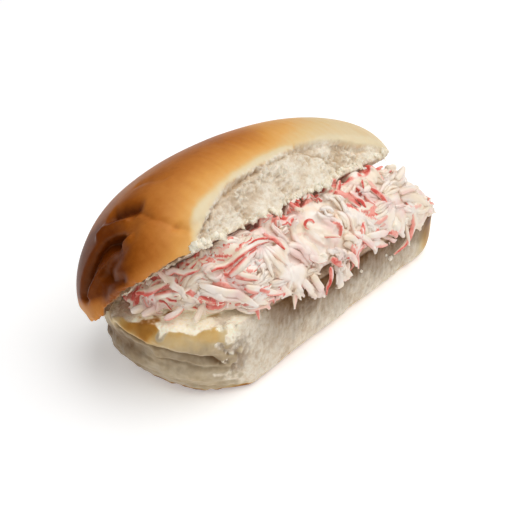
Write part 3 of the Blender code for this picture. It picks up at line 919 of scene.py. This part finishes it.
def surimi_material(name):
    """White surimi with red skin where the skin attribute says so, under a film of mayonnaise, and a faint
    warm painted glow.
    """
    material, tree, shader = new_material(name, {
        "Roughness": 0.42,
        "Specular IOR Level": 0.45,
        "Coat Weight": 0.25,
        "Coat Roughness": 0.18,
        "Subsurface Weight": 0.35,
        "Subsurface Radius": (1.0, 0.95, 0.9),
        "Subsurface Scale": 0.0012,
        # A faint warm painted glow, which lifts the shade between the shreds.
        "Emission Color": (1.0, 0.66, 0.52, 1.0),
        "Emission Strength": 0.042,
    })
    flesh = ramp(tree, noise_of(tree, 6.0, 3.0), [(0.38, SURIMI_WHITE), (0.6, SURIMI_CREAM)])
    flush = ramp(tree, noise_of(tree, 9.0, 2.0), [(0.51, BLACK), (0.64, WHITE)])
    flesh = mixed(tree, flush, flesh, SURIMI_BLUSH)
    skin = attribute(tree, "skin")
    veil = ramp(tree, noise_of(tree, 3.6, 3.0, 0.6), [(0.36, (0.25, 0.25, 0.25, 1.0)), (0.56, WHITE)])
    showing = maths(tree, "MULTIPLY", skin, veil)
    dyed = ramp(tree, showing, [(0.35, BLACK), (0.85, WHITE)])
    blush = mixed(tree, ramp(tree, skin, [(0.05, BLACK), (0.55, WHITE)]), flesh, SURIMI_PINK)
    tree.links.new(mixed(tree, dyed, blush, SURIMI_RED), shader.inputs["Base Color"])
    fibres = bump(tree, noise_of(tree, 0.9, 4.0, 0.6), 0.35, 0.0002)
    tree.links.new(fibres, shader.inputs["Normal"])
    return material


surimi = surimi_material("surimi in mayonnaise")
heap.data.materials.clear()
heap.data.materials.append(surimi)
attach(heap, "root")
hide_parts("surimi_salad")


# The loose shreds: strips that the mayonnaise holds less firmly.  Most lie over the heap, some fill
# the gap under the lid, and some stick out at the ends or hang over the open side.

MOSTLY_RED = 0.4       # from this much skin on, a shred counts as a red one
HUGGING = 1.8          # the greatest height of a shred that keeps to the heap
HANGING = 20.0
CURL_MIDDLE = Vector((-12.0, -25.4, 45.6))
CURL_RADIUS = 1.5

loose = {"shreds_white": bmesh.new(), "shreds_red": bmesh.new()}
for bm in loose.values():
    bm.verts.layers.float.new("skin")


def lay(path, width, thickness, angle, redness, seed):
    bm = loose["shreds_red" if redness > MOSTLY_RED else "shreds_white"]
    add_shred(bm, path, width, thickness, angle, redness, seed)


near_spots = [spot for spot in spots if spot.x < -44.0]
for plan in shred_plans(LOOSE_SHREDS, (0.5, 1.4), spots, rng):
    lay(*plan)
for plan in shred_plans(NEAR_SHREDS, (0.6, 1.6), near_spots, rng):
    lay(*plan)

# Red and white ends squeezed out along the lid's open lower edge.
for _ in range(RIM_SHREDS):
    spot, normal, down = rng.choice([item for item in rim_spots if item[0].y < 0.0])
    start = spot + down * rng.uniform(0.6, 1.8) + Vector((0.0, rng.uniform(0.0, 2.0), 0.0))
    heading = Vector((1.0, rng.uniform(-0.4, 0.4), rng.uniform(-0.5, 0.3)))
    length = rng.uniform(3.0, 7.0)
    bow = rng.uniform(-1.0, 1.0)
    path = lying_path(start, heading, length, bow, rng.uniform(0.1, 0.7))
    angle, redness = skin_of(rng.random() < 0.75, rng)
    if not any(inside(tree, point) for tree in bread_trees for point, _ in path[::4]):
        lay(path, rng.uniform(1.0, 1.9), rng.uniform(0.8, 1.3), angle, redness, rng.uniform(0.0, 90.0))

# Ends that stick out of the heap, most of them at its two ends.
end_spots = [spot for spot in spots if spot.x < -46.0 or spot.x > 30.0]
laid = 0
while laid < FREE_SHREDS:
    spot = rng.choice(end_spots if rng.random() < 0.75 else spots)
    outward = Vector((0.3, -1.0, 0.3))
    if abs(spot.x) > 30.0:
        outward = Vector((-1.0 if spot.x < 0.0 else 1.0, -0.7, 0.25))
    stray = Vector([rng.uniform(-0.6, 0.6) for _ in range(3)])
    heading = (outward.normalized() + stray).normalized()
    path = free_path(spot, heading, rng.uniform(3.0, 6.5), rng.uniform(0.5, 2.5))
    angle, redness = skin_of(rng.random() < 0.4, rng)
    if clear_of_bread([point for point, _ in path[::2]], 0.7):
        laid += 1
        lay(path, rng.uniform(1.4, 2.3), rng.uniform(0.9, 1.3), angle, redness, rng.uniform(0.0, 90.0))

# Ends that hang down over the base's open side.
edge_spots = [spot for spot in spots if spot.y < -28.0 and -45.0 < spot.x < 45.0]
laid = 0
while laid < HANGING_SHREDS:
    spot = rng.choice(edge_spots)
    heading = Vector((rng.uniform(-0.9, 1.1), -0.35, -0.9)).normalized()
    path = free_path(spot, heading, rng.uniform(3.5, 7.5), 1.0)
    angle, redness = skin_of(rng.random() < 0.5, rng)
    if clear_of_bread([point for point, _ in path[::2]], 0.6):
        laid += 1
        lay(path, rng.uniform(1.6, 2.7), rng.uniform(1.0, 1.5), angle, redness, rng.uniform(0.0, 90.0))

# Shreds that catch the eye: a hand of strands, a long red one, a ribbon down the far side, a point
# at the far end and a small curl of skin.  Each is its path, width, thickness, the angle and the
# strength of its red skin, and its greatest height off the heap.
curl = [
    CURL_MIDDLE + Vector((0.65, -0.76, 0.0)) * (CURL_RADIUS * math.cos(math.radians(a)))
    + Vector((0.35, 0.30, 0.89)) * (CURL_RADIUS * math.sin(math.radians(a)))
    for a in range(20, 300, 40)
]
for points, width, thickness, angle, redness, most in (
    # The hand of strands.
    (((-34.0, -22.4, 48.4), (-37.5, -25.4, 47.2), (-42.0, -28.2, 43.6)), 1.8, 1.4, 0.0, 0.1, 2.6),
    (((-33.9, -22.7, 48.2), (-37.0, -26.6, 46.6), (-40.2, -30.0, 42.2)), 1.8, 1.4, 0.0, 0.1, 2.6),
    (((-33.6, -22.9, 48.0), (-35.9, -27.4, 46.0), (-37.0, -31.2, 41.6)), 1.8, 1.4, 0.0, 0.1, 2.6),
    (((-33.3, -22.8, 48.0), (-33.9, -27.8, 45.6), (-33.0, -31.4, 41.2)), 1.8, 1.4, 0.0, 0.0, 2.6),
    (((-33.0, -22.6, 48.0), (-31.8, -27.2, 45.8), (-29.4, -30.6, 41.8)), 1.8, 1.4, 0.0, 0.2, 2.6),
    # Long strips with red edges above it and beside it.
    (((-52.0, -19.5, 47.0), (-44.5, -23.0, 49.5), (-36.0, -23.5, 50.0), (-30.0, -23.5, 48.0)),
     2.0, 1.0, 0.3, 1.0, 2.2),
    (((-49.0, -24.0, 45.5), (-43.0, -25.0, 47.5), (-37.0, -24.5, 48.5)), 2.4, 1.2, math.pi, 0.9, 2.2),
    (((-30.0, -21.5, 50.0), (-28.0, -24.0, 48.0), (-27.0, -27.5, 45.0)), 2.2, 1.3, 0.6, 1.0, 2.2),
    (((-39.0, -22.5, 51.0), (-34.0, -22.5, 50.0), (-29.0, -23.0, 48.5)), 1.5, 1.0, 1.2, 1.0, 2.4),
    (((-16.0, -23.0, 48.5), (-18.0, -25.0, 45.5), (-19.0, -27.0, 42.5)), 2.4, 1.5, 0.0, 0.1, HUGGING),
    (((-19.0, -31.0, 39.5), (-16.0, -32.3, 37.3), (-12.5, -33.0, 35.5)), 2.6, 1.5, -0.4, 1.0, 2.2),
    (((-8.5, -32.0, 33.5), (-6.0, -33.0, 31.0), (-4.0, -33.6, 28.5)), 2.6, 1.5, 1.57, 1.0, HUGGING),
    # Pieces on the far half.
    (((13.5, -18.0, 47.3), (11.0, -19.5, 46.0), (9.5, -20.5, 44.8)), 2.2, 1.2, 1.57, 1.0, HUGGING),
    (((18.0, -22.0, 44.5), (20.0, -25.0, 41.5), (21.0, -28.0, 38.5)), 2.0, 1.3, 0.2, 1.0, HUGGING),
    (((5.0, -31.0, 36.0), (9.5, -33.0, 32.0), (14.0, -34.0, 26.5)), 2.8, 1.6, -0.2, 0.9, HANGING),
    (((10.0, -32.0, 32.5), (17.0, -33.5, 30.8), (22.0, -34.0, 29.5)), 2.6, 1.5, -0.6, 1.0, HANGING),
    (((12.0, -32.5, 28.8), (17.0, -33.6, 26.8), (21.0, -33.8, 24.5)), 2.8, 1.6, 0.0, 0.6, HANGING),
    (((-1.0, -33.0, 30.5), (4.0, -33.0, 30.0), (10.0, -33.0, 30.5)), 1.8, 1.2, 1.2, 1.0, 2.2),
    (((0.0, -32.5, 31.5), (2.0, -33.8, 28.5), (3.0, -34.0, 25.5)), 2.6, 1.7, 0.0, 0.0, HANGING),
    (((-24.0, -32.0, 34.0), (-21.5, -33.2, 30.0), (-19.5, -33.5, 25.5)), 2.6, 1.6, 0.0, 0.1, HANGING),
    (((-19.0, -32.5, 33.0), (-17.0, -33.8, 28.0), (-14.0, -34.0, 22.5)), 2.8, 1.7, 0.0, 0.1, HANGING),
    (((-10.0, -33.0, 31.5), (-11.0, -34.0, 27.5), (-14.5, -33.8, 24.0)), 1.9, 1.2, 0.0, 1.0, HANGING),
    (((8.0, -20.0, 46.5), (12.0, -23.0, 43.5), (14.0, -26.5, 40.0)), 2.4, 1.4, 1.57, 0.8, 2.2),
    (((22.5, -21.0, 44.5), (19.0, -24.0, 43.0), (14.5, -25.0, 42.5)), 2.0, 1.2, 0.4, 1.0, 2.2),
    (((14.0, -22.0, 44.5), (16.0, -25.5, 41.5), (15.5, -29.0, 38.0)), 2.4, 1.3, 0.3, 1.0, 2.4),
    (((23.5, -24.0, 42.0), (26.0, -27.0, 39.0), (26.5, -30.0, 35.5)), 2.0, 1.2, 1.2, 0.9, 2.2),
    # The far end: tips, a flap and a ribbon that hangs down beside the bread.
    (((37.0, -25.5, 40.0), (40.5, -25.0, 40.5), (43.0, -24.4, 42.0)), 2.6, 1.8, 0.0, 0.0, HANGING),
    (((35.0, -28.5, 36.8), (40.5, -29.0, 35.8), (45.5, -29.2, 34.4)), 2.6, 1.7, 0.0, 0.2, HANGING),
    (((36.0, -28.5, 35.0), (43.0, -31.4, 31.4), (50.0, -33.8, 24.6)), 3.6, 1.5, -1.2, 0.9, HANGING),
    (((38.0, -29.0, 33.5), (38.5, -32.8, 27.5), (37.5, -33.4, 21.5), (34.0, -33.0, 17.4),
      (28.0, -32.6, 16.2)), 2.2, 1.6, 0.0, 0.9, HANGING),
    # The near end: strips beside the lid's tip, and some that slid down on to the bread.
    (((-60.0, -5.0, 44.0), (-60.5, -11.0, 42.5), (-60.5, -16.5, 39.0)), 2.4, 1.4, 0.0, 0.0, 3.4),
    (((-61.0, -9.0, 44.5), (-58.0, -12.0, 46.0), (-54.5, -15.5, 46.6)), 2.2, 1.2, 0.0, 1.0, 2.6),
    (((-66.0, -1.0, 37.0), (-63.5, -4.5, 38.5), (-60.0, -8.5, 41.5)), 2.6, 1.4, 0.0, 1.0, 2.8),
    (((-57.0, -19.5, 43.2), (-54.0, -25.8, 41.4), (-48.5, -30.0, 37.8), (-45.5, -32.3, 35.2)),
     2.8, 1.5, 0.0, 0.1, 2.8),
    (((-58.5, -19.0, 41.0), (-55.0, -25.5, 39.2), (-50.0, -29.5, 36.0)), 2.4, 1.5, 0.0, 0.2, 2.8),
    (((-65.5, -7.5, 37.0), (-63.5, -11.0, 38.8), (-60.0, -14.0, 40.5)), 2.4, 1.4, math.pi, 0.9, 2.8),
    (((-59.0, -20.0, 39.8), (-57.5, -21.5, 39.0), (-55.5, -23.5, 38.2)), 2.2, 1.3, 1.57, 1.0, 2.6),
    (((-47.0, -28.5, 41.8), (-41.5, -31.0, 38.5), (-35.0, -33.0, 35.0)), 2.8, 1.4, 0.4, 0.8, 2.6),
    (((-67.0, 1.0, 30.0), (-63.5, -1.5, 31.2), (-58.0, -4.0, 33.4)), 2.6, 1.7, 0.0, 0.0, HANGING),
    (((-67.0, -4.0, 31.0), (-63.0, -5.5, 32.0), (-57.0, -7.0, 34.4)), 2.6, 1.7, 0.0, 0.1, HANGING),
    (((-64.5, -11.0, 31.6), (-60.5, -12.5, 32.4), (-56.0, -13.0, 34.6)), 2.2, 1.5, 0.0, 0.8, HANGING),
    (((-60.0, -19.5, 32.2), (-57.0, -18.5, 33.0), (-53.0, -18.0, 35.6)), 2.3, 1.6, 0.0, 0.1, HANGING),
    (curl, 1.5, 0.8, 1.57, 1.0, HANGING),
):
    lay(drawn_path(points, 1.0, most), width, thickness, angle, redness, 7.0 + points[0][0])


def new_piece(name, bm, material):
    """A piece of the roll from a finished shape in millimetres."""
    bmesh.ops.transform(bm, matrix=Matrix.Scale(MM, 4), verts=bm.verts)
    mesh = bpy.data.meshes.new(name)
    bm.to_mesh(mesh)
    bm.free()
    mesh.shade_smooth()
    mesh.materials.append(material)
    made = bpy.data.objects.new(name, mesh)
    scene.collection.objects.link(made)
    return made


for name, bm in loose.items():
    bmesh.ops.recalc_face_normals(bm, faces=bm.faces)
    piece = new_piece(name, bm, surimi)
    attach(piece, "root")
bpy.data.meshes.remove(plain_strip)


# The mayonnaise: egg and oil beaten thick.  Most of it is a film on the shreds; these are the drops
# that gathered between them, and the few that fell on the bread below.

MAYO_DROPS = 6


def add_lump(bm, place, out, radii, uneven, seed):
    """A rounded lump lying on a surface: wide along it and low above it."""
    made = bmesh.ops.create_icosphere(bm, subdivisions=3, radius=1.0)["verts"]
    turn = out.to_track_quat("Z", "Y").to_matrix()
    for vert in made:
        swell = 1.0 + uneven * noise.noise(vert.co * 1.3 + Vector((seed, -seed, seed * 0.5)))
        vert.co = place + turn @ Vector([c * r * swell for c, r in zip(vert.co, radii)])


bm = bmesh.new()
for index in range(MAYO_DROPS):
    spot = rng.choice(spots)
    near, out, _, _ = strip_tree.find_nearest(spot + Vector((0.0, -1.0, 2.0)))
    size = rng.uniform(1.3, 2.4)
    add_lump(bm, near - out * 0.2, out, (size, size * rng.uniform(0.6, 1.0), size * 0.4), 0.8, index * 3.7)
near, out, _, _ = strip_tree.find_nearest(Vector((28.0, -32.0, 28.5)))
add_lump(bm, near, out, (3.0, 2.6, 1.6), 0.5, 4.2)
for place, size in (((30.4, -30.2, 12.0), 1.1), ((27.6, -30.2, 14.6), 0.5), ((12.0, -30.2, 16.4), 0.6)):
    near, out, _, _ = bread_trees[1].find_nearest(Vector(place))
    add_lump(bm, near + out * 0.2, out, (size, size, size * 0.6), 0.4, size)
mayonnaise_finish, tree, creamy = new_material("mayonnaise", {
    "Base Color": srgb(244, 234, 218),
    "Roughness": 0.3,
    "Subsurface Weight": 0.3,
    "Subsurface Radius": (1.0, 0.85, 0.7),
    "Subsurface Scale": 0.0008,
})
tree.links.new(bump(tree, noise_of(tree, 1.4, 2.0), 0.3, 0.0002), creamy.inputs["Normal"])
mayonnaise = new_piece("mayonnaise", bm, mayonnaise_finish)
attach(mayonnaise, "root")


# The tufts: flakes and fibres of the lid's own crumb, which the tearing and cutting drew out along
# its lower edge.  They still hang on by a thread or two.

LID_TUFTS = 60
# How strong the tufts' painted glow is.
TUFT_PAINTED_GLOW = 0.4


def add_tuft(bm, place, pull, size, seed):
    """One flake of crumb, drawn out the way it was pulled."""
    made = bmesh.ops.create_icosphere(bm, subdivisions=2, radius=1.0)["verts"]
    turn = pull.to_track_quat("Z", "Y").to_matrix()
    for vert in made:
        lumpy = 1.0 + 0.9 * noise.noise(vert.co * 1.7 + Vector((seed, seed * 0.3, -seed)))
        slim = 1.0 - 0.45 * vert.co.z
        shaped = Vector((vert.co.x * size.x * slim, vert.co.y * size.y * slim, vert.co.z * size.z))
        vert.co = place + turn @ (shaped * lumpy)


bm = bmesh.new()
for index in range(LID_TUFTS):
    spot, normal, down = rng.choice([item for item in rim_spots if item[0].x > -57.0])
    pull = down + normal * rng.uniform(0.0, 0.6)
    pull = (pull + Vector([rng.uniform(-0.6, 0.6) for _ in range(3)])).normalized()
    girth = rng.uniform(0.35, 0.7) + 0.9 * rng.random() ** 4
    size = Vector((girth, girth * rng.uniform(0.6, 1.0), girth * rng.uniform(0.8, 1.8)))
    if rng.random() < 0.12:
        size = Vector((0.25, 0.25, rng.uniform(0.8, 1.6)))
    add_tuft(bm, spot + pull * size.z * 0.4, pull, size, index * 1.9)
for index, (place, pull, length) in enumerate((
    ((-55.6, -16.9, 56.6), (-0.4, -0.8, -0.5), 2.6), ((-54.0, -17.2, 56.0), (0.0, -0.8, -0.7), 2.2),
    ((-52.4, -17.0, 56.4), (0.2, -0.7, -0.5), 2.0), ((-56.4, -16.2, 55.4), (-0.2, -0.5, -1.0), 2.0),
    ((41.1, -16.9, 46.6), (0.9, -0.4, -0.3), 1.6), ((40.0, -17.0, 46.2), (0.4, -0.5, -0.9), 1.7),
)):
    add_tuft(bm, Vector(place), Vector(pull).normalized(), Vector((1.1, 0.9, length * 0.6)), index * 5.1)
tufts = new_piece("crumb_tufts", bm, lid_finish)
count = len(tufts.data.vertices)
set_floats(tufts.data, "crumb", [1.0] * count)
# The tufts carry the painted glow, which lightens them in the shade under the lid.
set_floats(tufts.data, "painted_glow", [TUFT_PAINTED_GLOW] * count)
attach(tufts, "root")


# The table and the light: a plain white top under a large soft window light from the right, with a
# weak reflector low on the left that lifts the shadows of the near end.

FLOOR_SIZE = 3.0

bm = bmesh.new()
bmesh.ops.create_grid(bm, x_segments=2, y_segments=2, size=FLOOR_SIZE / 2)
floor_mesh = bpy.data.meshes.new("table_top")
bm.to_mesh(floor_mesh)
bm.free()
floor = bpy.data.objects.new("table_top", floor_mesh)
scene.collection.objects.link(floor)
floor_mesh.materials.append(new_material("white table", {
    "Base Color": (0.85, 0.85, 0.85, 1.0),
    "Roughness": 0.9,
    "Emission Color": WHITE,
    "Emission Strength": 0.33,
})[0])

world = bpy.data.worlds.new("room")
scene.world = world
world.use_nodes = True
room = world.node_tree.nodes["Background"]
room.inputs["Color"].default_value = WHITE
room.inputs["Strength"].default_value = 0.18

for name, place, size, power in (
    ("window", Vector((0.22, -0.24, 0.9)), 1.2, 10.6),
    ("reflector", Vector((-0.5, -0.34, 0.28)), 0.5, 0.5),
):
    lamp = bpy.data.lights.new(name, "AREA")
    lamp.size = size
    lamp.energy = power
    lamp_object = bpy.data.objects.new(name, lamp)
    lamp_object.location = place
    lamp_object.rotation_euler = place.to_track_quat("Z", "Y").to_euler()
    scene.collection.objects.link(lamp_object)
